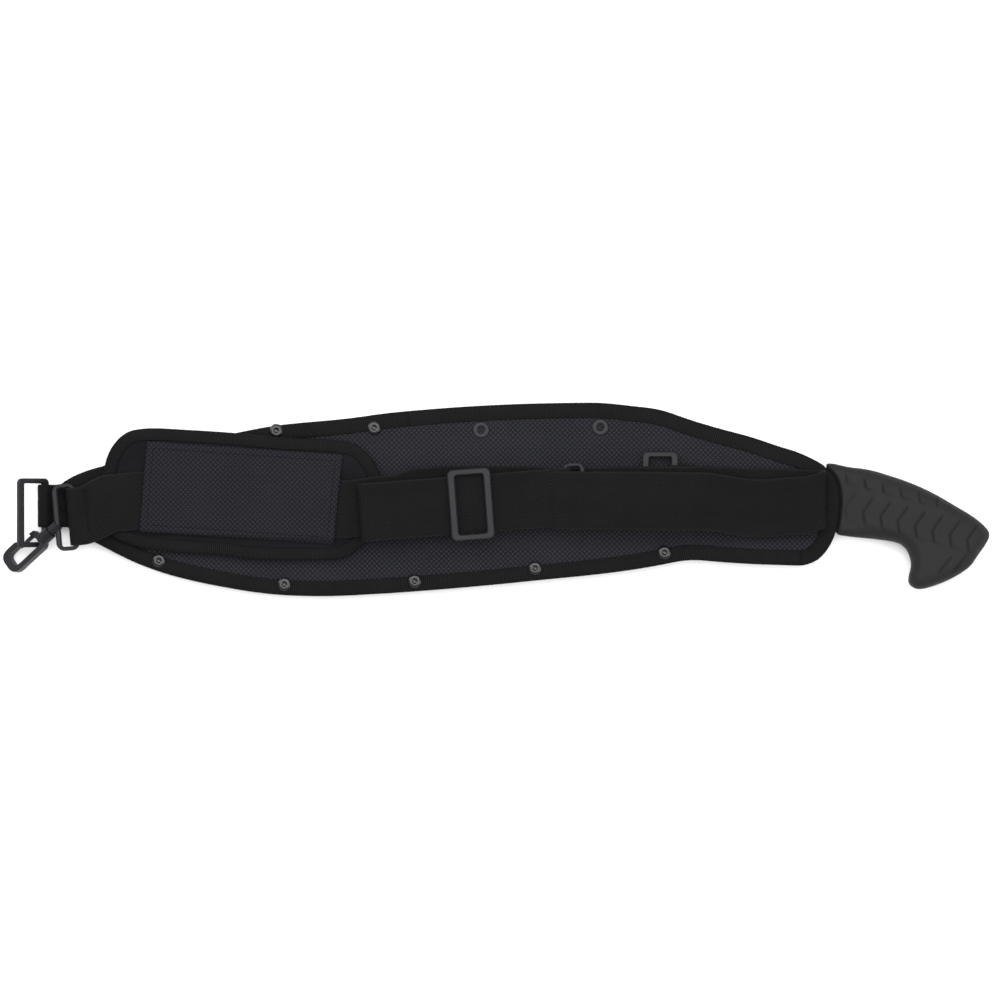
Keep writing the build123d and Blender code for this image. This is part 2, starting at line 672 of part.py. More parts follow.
def treads():
    """Bands that lie across the grip's side like overlapping arrowheads, row after row."""
    with BuildSketch(Plane.XY.offset(mid_z), mode=Mode.PRIVATE) as rows:
        for x, y in tread_points:
            with BuildLine():
                Polyline((x + tread_w, y), (x + tread_w + 8, y + 14), (x + 8, y + 14), (x, y),
                         (x + 3, y - 14), (x + tread_w + 3, y - 14), close=True)
            make_face()
        add(drawn_in(grip_outline(), 4.2), mode=Mode.INTERSECT)
    return rows.sketch


tread_points = [(279.5, -9.8), (290.5, -12.1), (302.3, -15.2), (314, -18.5), (325, -21.2)]
tread_w = 7.2
grip_round = 3.6
with BuildPart() as grip:
    with BuildSketch(Plane.XY.offset(mid_z)):
        add(grip_outline())
    extrude(amount=grip_t / 2 - rib_h, both=True)
    fillet(grip.faces().filter_by(Axis.Z).edges(), grip_round)
    extrude(grip_profile(), amount=reach * 2, both=True, mode=Mode.INTERSECT)
    extrude(treads(), amount=grip_t / 2, both=True)
    add(blade.part, mode=Mode.SUBTRACT)
save(grip.part, "grip")
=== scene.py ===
import bpy
import math
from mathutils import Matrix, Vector, geometry, kdtree, noise


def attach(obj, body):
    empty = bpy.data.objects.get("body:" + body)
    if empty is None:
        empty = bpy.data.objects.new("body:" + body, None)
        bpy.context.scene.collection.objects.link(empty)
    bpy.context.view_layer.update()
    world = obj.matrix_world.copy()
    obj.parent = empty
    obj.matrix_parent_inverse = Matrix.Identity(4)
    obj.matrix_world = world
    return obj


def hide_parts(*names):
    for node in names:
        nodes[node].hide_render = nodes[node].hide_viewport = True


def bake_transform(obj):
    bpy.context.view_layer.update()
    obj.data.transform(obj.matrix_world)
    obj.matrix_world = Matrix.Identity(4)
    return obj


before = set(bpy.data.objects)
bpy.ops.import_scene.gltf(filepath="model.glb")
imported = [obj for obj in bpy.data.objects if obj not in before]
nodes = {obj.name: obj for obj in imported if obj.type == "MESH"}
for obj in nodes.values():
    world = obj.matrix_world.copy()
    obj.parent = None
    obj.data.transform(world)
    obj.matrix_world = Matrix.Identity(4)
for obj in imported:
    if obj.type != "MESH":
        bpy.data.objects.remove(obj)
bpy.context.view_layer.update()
MM = 0.001

# Heights and sizes of the object, in millimetres, as in the CAD source.
RIM_LOW, FRONT_INNER, MID, BACK_INNER, RIM_HIGH, FIELD_HIGH = 1.8, 3.0, 5.8, 8.6, 9.8, 11.6
BIND_T, BIND_W = 0.8, 10.0
WEB_W, WEB_T = 38.0, 1.6
PAD_LOW, PAD_RIM, PAD_TOP = 12.5, 15.6, 17.5
RUN_Z, FLAT_Z, UPPER_Z = 18.6, 12.7, 26.2
RING_BAR_W, RING_BAR_T = 4.5, 3.4


# ------------------------------------------------------------------ curves
def spline(points, step=2.5, closed=False):
    """Points about step apart on a smooth curve through the given ones."""
    pts = [Vector(p) for p in points]
    count = len(pts)
    spans = count if closed else count - 1
    out = []
    for i in range(spans):
        p1, p2 = pts[i], pts[(i + 1) % count]
        p0 = pts[i - 1] if (i or closed) else p1 * 2 - p2
        p3 = pts[(i + 2) % count] if (closed or i + 2 < count) else p2 * 2 - p1
        d0, d1, d2 = [max(1e-4, (b - a).length) ** 0.5 for a, b in ((p0, p1), (p1, p2), (p2, p3))]
        m1 = ((p1 - p0) / d0 - (p2 - p0) / (d0 + d1) + (p2 - p1) / d1) * d1
        m2 = ((p2 - p1) / d1 - (p3 - p1) / (d1 + d2) + (p3 - p2) / d2) * d1
        n = max(2, round((p2 - p1).length / step))
        for k in range(n):
            t = k / n
            out.append((2 * t**3 - 3 * t**2 + 1) * p1 + (t**3 - 2 * t**2 + t) * m1
                       + (3 * t**2 - 2 * t**3) * p2 + (t**3 - t**2) * m2)
    if not closed:
        out.append(pts[-1])
    return out


def even(points, step, closed):
    """The same line with its points an even step apart."""
    pts = list(points) + ([points[0]] if closed else [])
    total = sum((b - a).length for a, b in zip(pts, pts[1:]))
    n = max(2, round(total / step))
    gap, out, need = total / n, [pts[0].copy()], total / n
    for a, b in zip(pts, pts[1:]):
        span = (b - a).length
        while span > 1e-9 and need <= span + 1e-9:
            a = a + (b - a) * (need / span)
            out.append(a.copy())
            span -= need
            need = gap
        need -= span
    if closed:
        return out[:n]
    return out[:n] + [pts[-1].copy()]


def smoothed(points, rounds, closed=True):
    pts = [p.copy() for p in points]
    for _ in range(rounds):
        last = [p.copy() for p in pts]
        for i in range(len(pts)):
            if closed or 0 < i < len(pts) - 1:
                pts[i] = last[i] * 0.5 + (last[i - 1] + last[(i + 1) % len(pts)]) * 0.25
    return pts


def inward(points):
    """Unit normals that point into a closed counter-clockwise outline."""
    out = []
    for i in range(len(points)):
        t = points[(i + 1) % len(points)] - points[i - 1]
        out.append(Vector((-t.y, t.x)).normalized())
    return out


def smooth_step(x, low, high):
    t = min(1.0, max(0.0, (x - low) / (high - low)))
    return t * t * (3 - 2 * t)


# ------------------------------------------------------------------ meshes
def piece(name, verts, faces, body, slot, look, replaces=(), along=None, smooth=True):
    """A mesh given in millimetres, riding on a body and standing for CAD nodes."""
    mesh = bpy.data.meshes.new(name)
    mesh.from_pydata([Vector(v) * MM for v in verts], [], faces)
    mesh.validate()
    if along:
        layer = mesh.attributes.new("along", "FLOAT_VECTOR", "POINT")
        layer.data.foreach_set("vector", [c for v in along for c in v])
    mesh.polygons.foreach_set("use_smooth", [smooth] * len(mesh.polygons))
    mesh.materials.append(look)
    obj = bpy.data.objects.new(name, mesh)
    bpy.context.scene.collection.objects.link(obj)
    if body:
        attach(obj, body)
    if replaces:
        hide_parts(*replaces)
    return obj


def nearest_edge(outline):
    """A function that gives a point's distance from an outline."""
    dense = even(outline, 1.0, True)
    tree = kdtree.KDTree(len(dense))
    for i, p in enumerate(dense):
        tree.insert((p.x, p.y, 0), i)
    tree.balance()
    return lambda p: tree.find((p.x, p.y, 0))[2]


def inside(p, outline):
    hit = False
    for i in range(len(outline)):
        a, b = outline[i - 1], outline[i]
        if (a.y > p.y) != (b.y > p.y) and p.x < (b.x - a.x) * (p.y - a.y) / (b.y - a.y) + a.x:
            hit = not hit
    return hit


def quilt(outline, rings, spacing, top, bottom):
    """A closed soft body over an outline. top and bottom give the height at (x, y, edge distance)."""
    edge_of = nearest_edge(outline)
    normals = inward(outline)
    flat = list(outline)
    for inset in rings:
        for p, n in zip(outline, normals):
            q = p + n * inset
            if edge_of(q) > inset - 0.25:
                flat.append(q)
    clear = max(rings) + spacing * 0.5 if rings else spacing * 0.6
    xs, ys = [p.x for p in outline], [p.y for p in outline]
    row, y = 0, min(ys)
    while y < max(ys):
        x = min(xs) + (row % 2) * spacing / 2
        while x < max(xs):
            q = Vector((x, y))
            if inside(q, outline) and edge_of(q) > clear:
                flat.append(q)
            x += spacing
        y += spacing * 0.87
        row += 1
    res = geometry.delaunay_2d_cdt([tuple(p) for p in flat], [], [list(range(len(outline)))], 1, 1e-4)
    pts, tris, origin = res[0], res[2], res[3]
    edges = [edge_of(p) for p in pts]
    for i, src in enumerate(origin):
        if any(s < len(outline) for s in src):
            edges[i] = 0.0
    n = len(pts)
    verts = [(p.x, p.y, top(p.x, p.y, d)) for p, d in zip(pts, edges)]
    verts += [(p.x, p.y, bottom(p.x, p.y, d)) for p, d in zip(pts, edges)]
    faces = [tuple(t) for t in tris] + [tuple(n + i for i in reversed(t)) for t in tris]
    rim = {}
    for t in tris:
        for a, b in zip(t, t[1:] + t[:1]):
            if (b, a) in rim:
                del rim[(b, a)]
            else:
                rim[(a, b)] = True
    faces += [(b, a, n + a, n + b) for a, b in rim]
    return verts, faces


def sweep(stations, section, closed):
    """A closed section carried along stations of (point, out, up): section points are (out, up)."""
    verts, along, run = [], [], 0.0
    k = len(section)
    last = None
    for p, out, up in stations:
        run += (p - last).length if last is not None else 0.0
        last = p
        for a, b in section:
            verts.append(p + out * a + up * b)
            along.append((run, a, b))
    faces = []
    rows = len(stations)
    for i in range(rows if closed else rows - 1):
        j = (i + 1) % rows
        for a in range(k):
            b = (a + 1) % k
            faces.append((i * k + a, i * k + b, j * k + b, j * k + a))
    if not closed:
        faces.append(tuple(range(k - 1, -1, -1)))
        faces.append(tuple((rows - 1) * k + a for a in range(k)))
    return verts, faces, along


def tape_section(width, thick, bands=4):
    """Section of a woven strap: soft edges and a shallow groove between its bands."""
    half, t = width / 2, thick / 2
    side = []
    per_band = 4
    steps = bands * per_band
    for i in range(1, steps):
        v = -half + width * i / steps
        groove = 0.10 if i % per_band == 0 else 0.0
        side.append((v, t - groove))
    top = [(-half + 0.25, t * 0.86)] + side + [(half - 0.25, t * 0.86)]
    return [(half, 0.0)] + top[::-1] + [(-half, 0.0)] + [(a, -b) for a, b in top]


def rounded(corners, step=1.6):
    """Dense points along corners (x, z, radius), with each corner rounded by an arc."""
    pts = [Vector((c[0], c[1])) for c in corners]
    out = [pts[0]]
    for i in range(1, len(pts) - 1):
        a, b, c, r = pts[i - 1], pts[i], pts[i + 1], corners[i][2]
        u, v = (a - b).normalized(), (c - b).normalized()
        angle = math.acos(max(-1, min(1, u.dot(v))))
        if math.pi - angle < 0.01:
            out.append(b)
            continue
        cut = r / math.tan(angle / 2)
        cut = min(cut, (a - b).length * 0.48, (c - b).length * 0.48)
        r = cut * math.tan(angle / 2)
        centre = b + (u + v).normalized() * (r / math.sin(angle / 2))
        start, end = b + u * cut, b + v * cut
        s, e = start - centre, end - centre
        turn = math.atan2(s.x * e.y - s.y * e.x, s.dot(e))
        n = max(2, math.ceil(abs(turn) / 0.22))
        for k in range(n + 1):
            w = turn * k / n
            out.append(centre + Vector((s.x * math.cos(w) - s.y * math.sin(w),
                                        s.x * math.sin(w) + s.y * math.cos(w))))
    out.append(pts[-1])
    dense = [out[0]]
    for a, b in zip(out, out[1:]):
        n = max(1, round((b - a).length / (step * 2)))
        dense += [a + (b - a) * (k / n) for k in range(1, n + 1)]
    return dense


def web_stations(route, centre_y, heading):
    """Stations of a strap from its side route (x, z). centre_y and heading may change along x."""
    pts, heads = [], []
    for i, q in enumerate(route):
        pts.append(Vector((q.x, centre_y(i, q.x), q.y)))
        heads.append(heading(i, q.x))
    out = []
    for i, p in enumerate(pts):
        t = (pts[min(i + 1, len(pts) - 1)] - pts[max(i - 1, 0)]).normalized()
        across = Vector((-math.sin(heads[i]), math.cos(heads[i]), 0))
        up = t.cross(across).normalized()
        out.append((p, across, up))
    return out


def stitches(points, ups, pitch, length, width, lift):
    """A row of thread stitches along a line, each a small rounded grain of thread."""
    verts, faces = [], []
    line = even(points, 0.5, False)
    total = 0.0
    tree = kdtree.KDTree(len(points))
    for i, p in enumerate(points):
        tree.insert(p, i)
    tree.balance()
    due = pitch / 2
    for a, b in zip(line, line[1:]):
        total += (b - a).length
        if total < due:
            continue
        due += pitch
        up = Vector(ups[tree.find(a)[1]])
        t = (b - a).normalized()
        side = up.cross(t).normalized()
        base = len(verts)
        shape = [(-0.5, 0.4, 0.3), (-0.3, 1.0, 0.7), (0.0, 1.0, 1.0), (0.3, 1.0, 0.7), (0.5, 0.4, 0.3)]
        for u, w, h in shape:
            for c, s in ((-1, 0.0), (-0.6, 0.8), (0.6, 0.8), (1, 0.0)):
                verts.append(a + t * (u * length) + side * (c * w * width / 2)
                             + up * (lift * (0.15 + h * s) - 0.1))
        for i in range(4):
            for j in range(3):
                p = base + i * 4 + j
                faces.append((p, p + 4, p + 5, p + 1))
            p = base + i * 4
            faces.append((p, p + 3, p + 7, p + 4))
        faces.append((base, base + 1, base + 2, base + 3))
        faces.append((base + 19, base + 18, base + 17, base + 16))
    return verts, faces


def lathe(profile, centres, segments=40):
    """A round fastener at each centre (x, y), from its (radius, z) half section."""
    verts, faces = [], []
    for cx, cy in centres:
        base = len(verts)
        k = len(profile)
        for s in range(segments):
            a = 2 * math.pi * s / segments
            verts += [(cx + r * math.cos(a), cy + r * math.sin(a), z) for r, z in profile]
        for s in range(segments):
            n = (s + 1) % segments
            for i in range(k - 1):
                faces.append((base + s * k + i, base + n * k + i, base + n * k + i + 1,
                              base + s * k + i + 1))
        faces.append(tuple(base + s * k for s in range(segments - 1, -1, -1)))
        faces.append(tuple(base + s * k + k - 1 for s in range(segments)))
    return verts, faces


# ------------------------------------------------------------------ materials
class Look:
    """A procedural material, built from small pattern helpers that work in millimetres."""

    def __init__(self, name, roughness, metallic=0.0, sheen=0.0, coat=0.0, level=0.5):
        self.mat = bpy.data.materials.new(name)
        self.mat.use_nodes = True
        self.tree = self.mat.node_tree
        self.shader = self.tree.nodes["Principled BSDF"]
        for socket, value in (("Roughness", roughness), ("Metallic", metallic),
                              ("Sheen Weight", sheen), ("Coat Weight", coat),
                              ("Specular IOR Level", level)):
            self.shader.inputs[socket].default_value = value
        self.normal = None

    def node(self, kind, **settings):
        made = self.tree.nodes.new(kind)
        for key, value in settings.items():
            setattr(made, key, value)
        return made

    def join(self, a, b):
        self.tree.links.new(a, b)

    def place(self, attribute=None, scale=1000.0):
        """Position on the object in millimetres, or the run along a strap."""
        if attribute:
            return self.node("ShaderNodeAttribute", attribute_name=attribute).outputs["Vector"]
        coords = self.node("ShaderNodeTexCoord").outputs["Object"]
        grow = self.node("ShaderNodeVectorMath", operation="SCALE")
        grow.inputs["Scale"].default_value = scale
        self.join(coords, grow.inputs[0])
        return grow.outputs[0]

    def math(self, operation, a, b=None, c=None):
        made = self.node("ShaderNodeMath", operation=operation)
        for socket, value in zip(made.inputs, (a, b, c)):
            if value is None:
                continue
            if isinstance(value, (int, float)):
                socket.default_value = value
            else:
                self.join(value, socket)
        return made.outputs[0]

    def measure(self, place, direction):
        dot = self.node("ShaderNodeVectorMath", operation="DOT_PRODUCT")
        self.join(place, dot.inputs[0])
        dot.inputs[1].default_value = direction
        return dot.outputs["Value"]

    def wave(self, distance, pitch):
        """0 to 1 and back over each pitch."""
        turns = self.math("MULTIPLY", distance, 2 * math.pi / pitch)
        return self.math("MULTIPLY_ADD", self.math("SINE", turns), 0.5, 0.5)

    def cloud(self, place, size, detail=3.0, rough=0.55):
        made = self.node("ShaderNodeTexNoise")
        made.inputs["Scale"].default_value = 1.0 / size
        made.inputs["Detail"].default_value = detail
        made.inputs["Roughness"].default_value = rough
        self.join(place, made.inputs["Vector"])
        return made.outputs["Fac"]

    def blend(self, factor, low, high):
        ramp = self.node("ShaderNodeValToRGB")
        ramp.color_ramp.elements[0].color = (*low, 1)
        ramp.color_ramp.elements[1].color = (*high, 1)
        self.join(factor, ramp.inputs[0])
        return ramp.outputs[0]

    def spread(self, value, low, high, new_low, new_high):
        made = self.node("ShaderNodeMapRange")
        self.join(value, made.inputs["Value"])
        for key, number in (("From Min", low), ("From Max", high), ("To Min", new_low),
                            ("To Max", new_high)):
            made.inputs[key].default_value = number
        return made.outputs["Result"]

    def bump(self, height, depth, strength=1.0):
        made = self.node("ShaderNodeBump")
        made.inputs["Strength"].default_value = strength
        made.inputs["Distance"].default_value = depth * MM
        self.join(height, made.inputs["Height"])
        if self.normal is not None:
            self.join(self.normal, made.inputs["Normal"])
        self.normal = made.outputs["Normal"]

    def finish(self, color, roughness=None):
        self.join(color, self.shader.inputs["Base Color"])
        if roughness is not None:
            self.join(roughness, self.shader.inputs["Roughness"])
        if self.normal is not None:
            self.join(self.normal, self.shader.inputs["Normal"])
        return self.mat


def ballistic_cloth(name, dark, light, pitch=2.3):
    """Basket-woven nylon set on the diagonal: yarn blocks that show as slanting rows of dots."""
    look = Look(name, 0.7, sheen=0.01, level=0.07)
    place = look.place()
    warp = look.wave(look.measure(place, (0.7071, 0.7071, 0.0)), pitch)
    weft = look.wave(look.measure(place, (0.7071, -0.7071, 0.0)), pitch)
    block = look.math("MULTIPLY", warp, weft)
    thread = look.wave(look.measure(place, (0.7071, 0.7071, 0.2)), pitch / 4)
    fuzz = look.cloud(place, 0.5, 2.0)
    patch = look.cloud(place, 45.0, 3.0)
    height = look.math("ADD", block, look.math("MULTIPLY", thread, 0.16))
    look.bump(height, 0.28)
    # The raised yarn blocks are lighter in colour: a painted highlight on the tops of the yarns.
    tone = look.math("ADD", look.math("MULTIPLY", block, 0.62), look.math("MULTIPLY", patch, 0.22))
    tone = look.math("ADD", tone, look.math("MULTIPLY", fuzz, 0.25))
    return look.finish(look.blend(tone, dark, light), look.spread(block, 0, 1, 0.72, 0.5))


def strap_cloth(name, dark, light, band=9.5, pitch=2.0):
    """Webbing: herringbone ribs in lengthwise bands, with a painted sheen on the ribs and a painted
    highlight along its edges.
    """
    look = Look(name, 0.75, sheen=0.01, level=0.04)
    place = look.place("along")
    run = look.measure(place, (1, 0, 0))
    across = look.measure(place, (0, 1, 0))
    fold = look.math("PINGPONG", look.math("ADD", across, 10 * band), band)
    rib = look.wave(look.math("ADD", run, look.math("MULTIPLY", fold, 0.9)), pitch)
    fine = look.wave(across, 0.8)
    height = look.math("ADD", rib, look.math("MULTIPLY", fine, 0.3))
    look.bump(height, 0.3)
    world = look.place()
    patch = look.cloud(world, 30.0, 3.0)
    fuzz = look.cloud(world, 0.6, 2.0)
    # Painted highlight: the colour is made paler along the strap's edges.
    edge = look.spread(look.math("ABSOLUTE", across), 17.6, 18.9, 0.0, 0.5)
    # The ribs are lighter in colour: a painted sheen on their tops.
    tone = look.math("ADD", look.math("MULTIPLY", rib, 0.42), look.math("MULTIPLY", patch, 0.25))
    tone = look.math("ADD", tone, look.math("MULTIPLY", fuzz, 0.2))
    tone = look.math("ADD", tone, edge)
    return look.finish(look.blend(tone, dark, light), look.spread(rib, 0, 1, 0.72, 0.5))


def ribbed_tape(name, dark, light, pitch=1.3):
    """Grosgrain: fine ribs straight across the tape."""
    look = Look(name, 0.72, sheen=0.0, level=0.05)
    place = look.place("along")
    run = look.measure(place, (1, 0, 0))
    rib = look.wave(run, pitch)
    look.bump(rib, 0.22)
    world = look.place()
    patch = look.cloud(world, 20.0, 3.0)
    fuzz = look.cloud(world, 0.5, 2.0)
    tone = look.math("ADD", look.math("MULTIPLY", rib, 0.5), look.math("MULTIPLY", patch, 0.3))
    tone = look.math("ADD", tone, look.math("MULTIPLY", fuzz, 0.15))
    return look.finish(look.blend(tone, dark, light), look.spread(rib, 0, 1, 0.7, 0.5))


def grained(name, dark, light, roughness, size, depth, metallic=0.0, coat=0.0, swing=0.12, level=0.5):
    """A moulded or painted surface with a fine grain and slow changes of tone."""
    look = Look(name, roughness, metallic=metallic, coat=coat, level=level)
    place = look.place()
    grain = look.cloud(place, size, 4.0)
    patch = look.cloud(place, 14.0, 3.0)
    look.bump(grain, depth)
    tone = look.math("ADD", look.math("MULTIPLY", grain, 0.4), look.math("MULTIPLY", patch, 0.6))
    rough = look.spread(patch, 0.3, 0.7, roughness - swing / 2, roughness + swing / 2)
    return look.finish(look.blend(tone, dark, light), rough)


def smooth_cloth(name, dark, light):
    """Plain close-woven cloth with hardly any texture, over foam."""
    look = Look(name, 0.78, sheen=0.0, level=0.05)
    place = look.place()
    a = look.wave(look.measure(place, (1, 0, 0)), 0.7)
    b = look.wave(look.measure(place, (0, 1, 0)), 0.7)
    look.bump(look.math("MULTIPLY", a, b), 0.08)
    patch = look.cloud(place, 22.0, 4.0)
    tone = look.math("ADD", look.math("MULTIPLY", patch, 0.8),
                     look.math("MULTIPLY", look.cloud(place, 0.7, 2.0), 0.2))
    return look.finish(look.blend(tone, dark, light))


def tread_rubber(name, dark, light):
    """Dull moulded rubber, with painted shade darkening the foot of each tread."""
    look = Look(name, 0.62, level=0.12)
    place = look.place()
    grain = look.cloud(place, 0.35, 4.0)
    patch = look.cloud(place, 14.0, 3.0)
    look.bump(grain, 0.06)
    foot = look.measure(look.place("along"), (1, 0, 0))
    tone = look.math("ADD", look.math("MULTIPLY", grain, 0.35), look.math("MULTIPLY", patch, 0.5))
    # Painted shade: the colour is darkened by the foot value at the foot of each tread and in the marks
    # by the spine.
    tone = look.math("SUBTRACT", tone, look.math("MULTIPLY", foot, 0.75))
    return look.finish(look.blend(tone, dark, light), look.spread(patch, 0.3, 0.7, 0.56, 0.68))


def steel(name):
    look = Look(name, 0.34, metallic=1.0)
    place = look.place()
    brushed = look.cloud(place, 0.5, 5.0)
    look.bump(brushed, 0.02)
    patch = look.cloud(place, 30.0, 4.0)
    return look.finish(look.blend(patch, (0.06, 0.06, 0.065), (0.15, 0.15, 0.155)),
                       look.spread(patch, 0.3, 0.7, 0.28, 0.42))


cloth = ballistic_cloth("panel_cloth", (0.0008, 0.0008, 0.0014), (0.024, 0.0245, 0.031))
sleeve = ballistic_cloth("sleeve_cloth", (0.001, 0.001, 0.0018), (0.018, 0.018, 0.024))
webbing = strap_cloth("webbing", (0.0006, 0.0006, 0.0008), (0.011, 0.011, 0.0115))
tape = ribbed_tape("binding_tape", (0.0005, 0.0005, 0.0006), (0.009, 0.009, 0.0095))
foam_cloth = smooth_cloth("pad_cloth", (0.0018, 0.0018, 0.0024), (0.009, 0.009, 0.011))
plastic = grained("moulded_plastic", (0.004, 0.0035, 0.005), (0.013, 0.012, 0.015), 0.38, 0.6, 0.03,
                  level=0.14)
gloss = grained("rivet_black", (0.002, 0.002, 0.003), (0.008, 0.008, 0.009), 0.18, 2.0, 0.01,
                coat=0.12, swing=0.06, level=0.3)
snap = grained("snap_metal", (0.004, 0.004, 0.005), (0.015, 0.014, 0.017), 0.36, 1.0, 0.02,
               level=0.16)
rubber = tread_rubber("grip_rubber", (0.005, 0.005, 0.0055), (0.018, 0.018, 0.019))
liner_look = grained("liner_sheet", (0.01, 0.01, 0.01), (0.03, 0.03, 0.03), 0.5, 0.8, 0.02)
thread_look = grained("thread", (0.001, 0.001, 0.0012), (0.007, 0.007, 0.0075), 0.6, 0.3, 0.03,
                     level=0.08)
blade_look = steel("blade_steel")

# ------------------------------------------------------------------ sheath
sheath = even(smoothed(even(
    spline([(-259, -14.5), (-242, -23.8), (-231, -29.7), (-211, -39.6), (-191.4, -46.9),
            (-171.6, -52.1), (-151.8, -56.1), (-132, -59.4), (-112, -61.4), (-82.5, -62),
            (-52.8, -60.7), (-23, -58.7), (16.5, -55.4), (56, -51.5), (95.7, -47.5),
            (115.5, -44.9), (135, -41.6), (145, -39.6), (155, -38.3), (175, -39.6),
            (194.7, -40.9), (214.5, -41.6), (229, -42.1)])[:-1]
    + spline([(229, -42.1), (238, -38.8), (245.5, -31), (250.6, -20.2), (252, -13.7),
              (253.3, 2.8), (251, 14.8), (242.2, 24.8)])[:-1]
    + spline([(242.2, 24.8), (234.3, 29), (224.4, 33.3), (214.5, 36.3), (194.7, 42.9),
              (174.9, 48.2), (155, 54.1), (135.3, 60.7), (115.5, 63.4), (95.7, 65.3),
              (75.9, 65.3), (46.2, 64.7), (16.5, 63.4), (-13.2, 61.4), (-42.9, 58.7),
              (-72.6, 54.8), (-102, 52.1), (-118.8, 50.2), (-145.2, 45.2), (-231, 23.8),
              (-240.9, 21.1), (-250.8, 17.2), (-258.7, 12.5)])[:-1]
    + spline([(-258.7, 12.5), (-263.6, 7.4), (-264.7, -1.5), (-264, -8.6), (-259, -14.5)])[:-1],
    2.0, True), 3), 2.0, True)
sheath_in = inward(sheath)
sheath_edge = nearest_edge(sheath)
panel_line = [p + n * (BIND_T + 0.1) for p, n in zip(sheath, sheath_in)]


def sag(x, y, seed):
    """A slow unevenness of soft cloth, 0 to 1."""
    return 0.5 + 0.5 * noise.noise(Vector((x / 38.0, y / 26.0, seed)))


def back_top(x, y, d):
    rise = (FIELD_HIGH - RIM_HIGH) * smooth_step(d, 18.5, 25.0)
    pucker = 0.12 * math.sin(x * 0.55) * smooth_step(d, 7, 10) * (1 - smooth_step(d, 12, 15))
    return RIM_HIGH - 0.05 + rise + pucker - 0.35 * sag(x, y, 2.0) * smooth_step(d, 20, 32)


def front_low(x, y, d):
    return 2 * MID - back_top(x, -y, d)


panel_rings = (2, 4.5, 7, 9.5, 12, 14.5, 17, 19.5, 22)
back = quilt(panel_line, panel_rings, 7.0, back_top, lambda x, y, d: BACK_INNER)
piece("back_cloth", *back, "sheath", "panel_cloth", cloth, ("back_panel",))
front = quilt(panel_line, panel_rings, 7.0, lambda x, y, d: FRONT_INNER, front_low)
piece("front_cloth", *front, "sheath", "panel_cloth", cloth, ("front_panel",))


def crossing(p):
    """Whether a point of the edge lies on the side that opens."""
    zone = [Vector(q) for q in ((-30, 80), (-30, 30), (200, 0), (222, -26), (231, -50), (270, -50),
                                (270, 80))]
    return inside(p, zone)


def edge_stations(wanted):
    """Runs of the sheath's edge whose points pass the test, as sweep stations."""
    marks = [wanted(p) for p in sheath]
    start = next(i for i in range(len(marks)) if marks[i] and not marks[i - 1])
    run = []
    for k in range(len(marks)):
        i = (start + k) % len(marks)
        p, n = sheath[i], sheath_in[i]
        run.append((Vector((p.x, p.y, 0)), Vector((n.x, n.y, 0)), Vector((0, 0, 1))))
        if not marks[i]:
            break
    return run


def folded_tape(low, high, width, t=BIND_T):
    """Section of tape folded round an edge: (inset, z)."""
    soft = min(0.9, (high - low) / 2 + t * 0.6)
    outer = [(width, high + 0.9 * t), (width - 0.6, high + t), (width * 0.5, high + t + 0.12),
             (1.6, high + t), (0.55, high + t - 0.3 * soft), (0.05, high + t - soft),
             (0.05, low - t + soft), (0.55, low - t + 0.3 * soft), (1.6, low - t),
             (width * 0.5, low - t - 0.12), (width - 0.6, low - t), (width, low - 0.9 * t)]
    inner = [(width, low), (1.4, low), (0.9, low + 0.4), (0.9, high - 0.4), (1.4, high), (width, high)]
    return outer + inner


closed_run = edge_stations(lambda p: not crossing(p))
open_run = edge_stations(crossing)
for name, run, low, high, node in (
        ("edge_tape", closed_run, RIM_LOW, RIM_HIGH, "edge_binding"),
        ("front_mouth_tape", open_run, RIM_LOW, FRONT_INNER, "front_mouth_binding"),
        ("back_mouth_tape", open_run, BACK_INNER, RIM_HIGH, "back_mouth_binding")):
    verts, faces, along = sweep(run, folded_tape(low, high, BIND_W), False)
    piece(name, verts, faces, "sheath", "binding_tape", tape, (node,), along)

# The stiff core that the closed edge's tape is sewn round.
core = [(BIND_W, BACK_INNER), (1.5, BACK_INNER), (1.5, FRONT_INNER), (BIND_W, FRONT_INNER)]
verts, faces, along = sweep(closed_run, core, False)
piece("edge_core", verts, faces, "sheath", "welt_strip", liner_look, ("welt",))


def seam(run, inset, z, up, name, body="sheath"):
    """A row of tape stitches along a run of stations, set in from its edge."""
    line = [p + n * inset + Vector((0, 0, z)) for p, n, _ in run]
    verts, faces = stitches(line, [up] * len(line), 3.2, 2.3, 0.62, 0.42)
    piece(name, verts, faces, body, "binding_tape", thread_look)


stitch_in = BIND_W - 1.8
for run, part in ((closed_run, "edge"), (open_run, "mouth")):
    seam(run, stitch_in, RIM_HIGH + BIND_T, (0, 0, 1), part + "_stitch_back")
    seam(run, stitch_in, RIM_LOW - BIND_T, (0, 0, -1), part + "_stitch_front")

# Rivets and snaps.
rivets = [(-194.7, -38.6), (-112.2, -54.1), (-26.4, -52.1), (52.8, -43.6), (137.9, -33.3),
          (-117.5, 46.9), (-53.1, 48.8)]
foot, dome = RIM_LOW - BIND_T, RIM_HIGH + BIND_T
rivet_profile = [(0.3, foot - 0.9), (3.9, foot - 0.9), (4.35, foot - 0.65), (4.5, foot - 0.2),
                 (4.5, foot), (2.1, foot), (2.1, dome), (4.5, dome), (4.5, dome + 0.3),
                 (4.28, dome + 0.85), (3.8, dome + 1.25), (3.1, dome + 1.5), (2.4, dome + 1.6),
                 (1.9, dome + 1.55), (1.55, dome + 1.3), (1.2, dome + 0.95), (0.7, dome + 0.8),
                 (0.1, dome + 0.78)]
piece("rivets", *lathe(rivet_profile, rivets), "sheath", "rivet_black", gloss, ("edge_rivets",))
snaps = [(17.2, 47.3), (95.7, 49.1)]
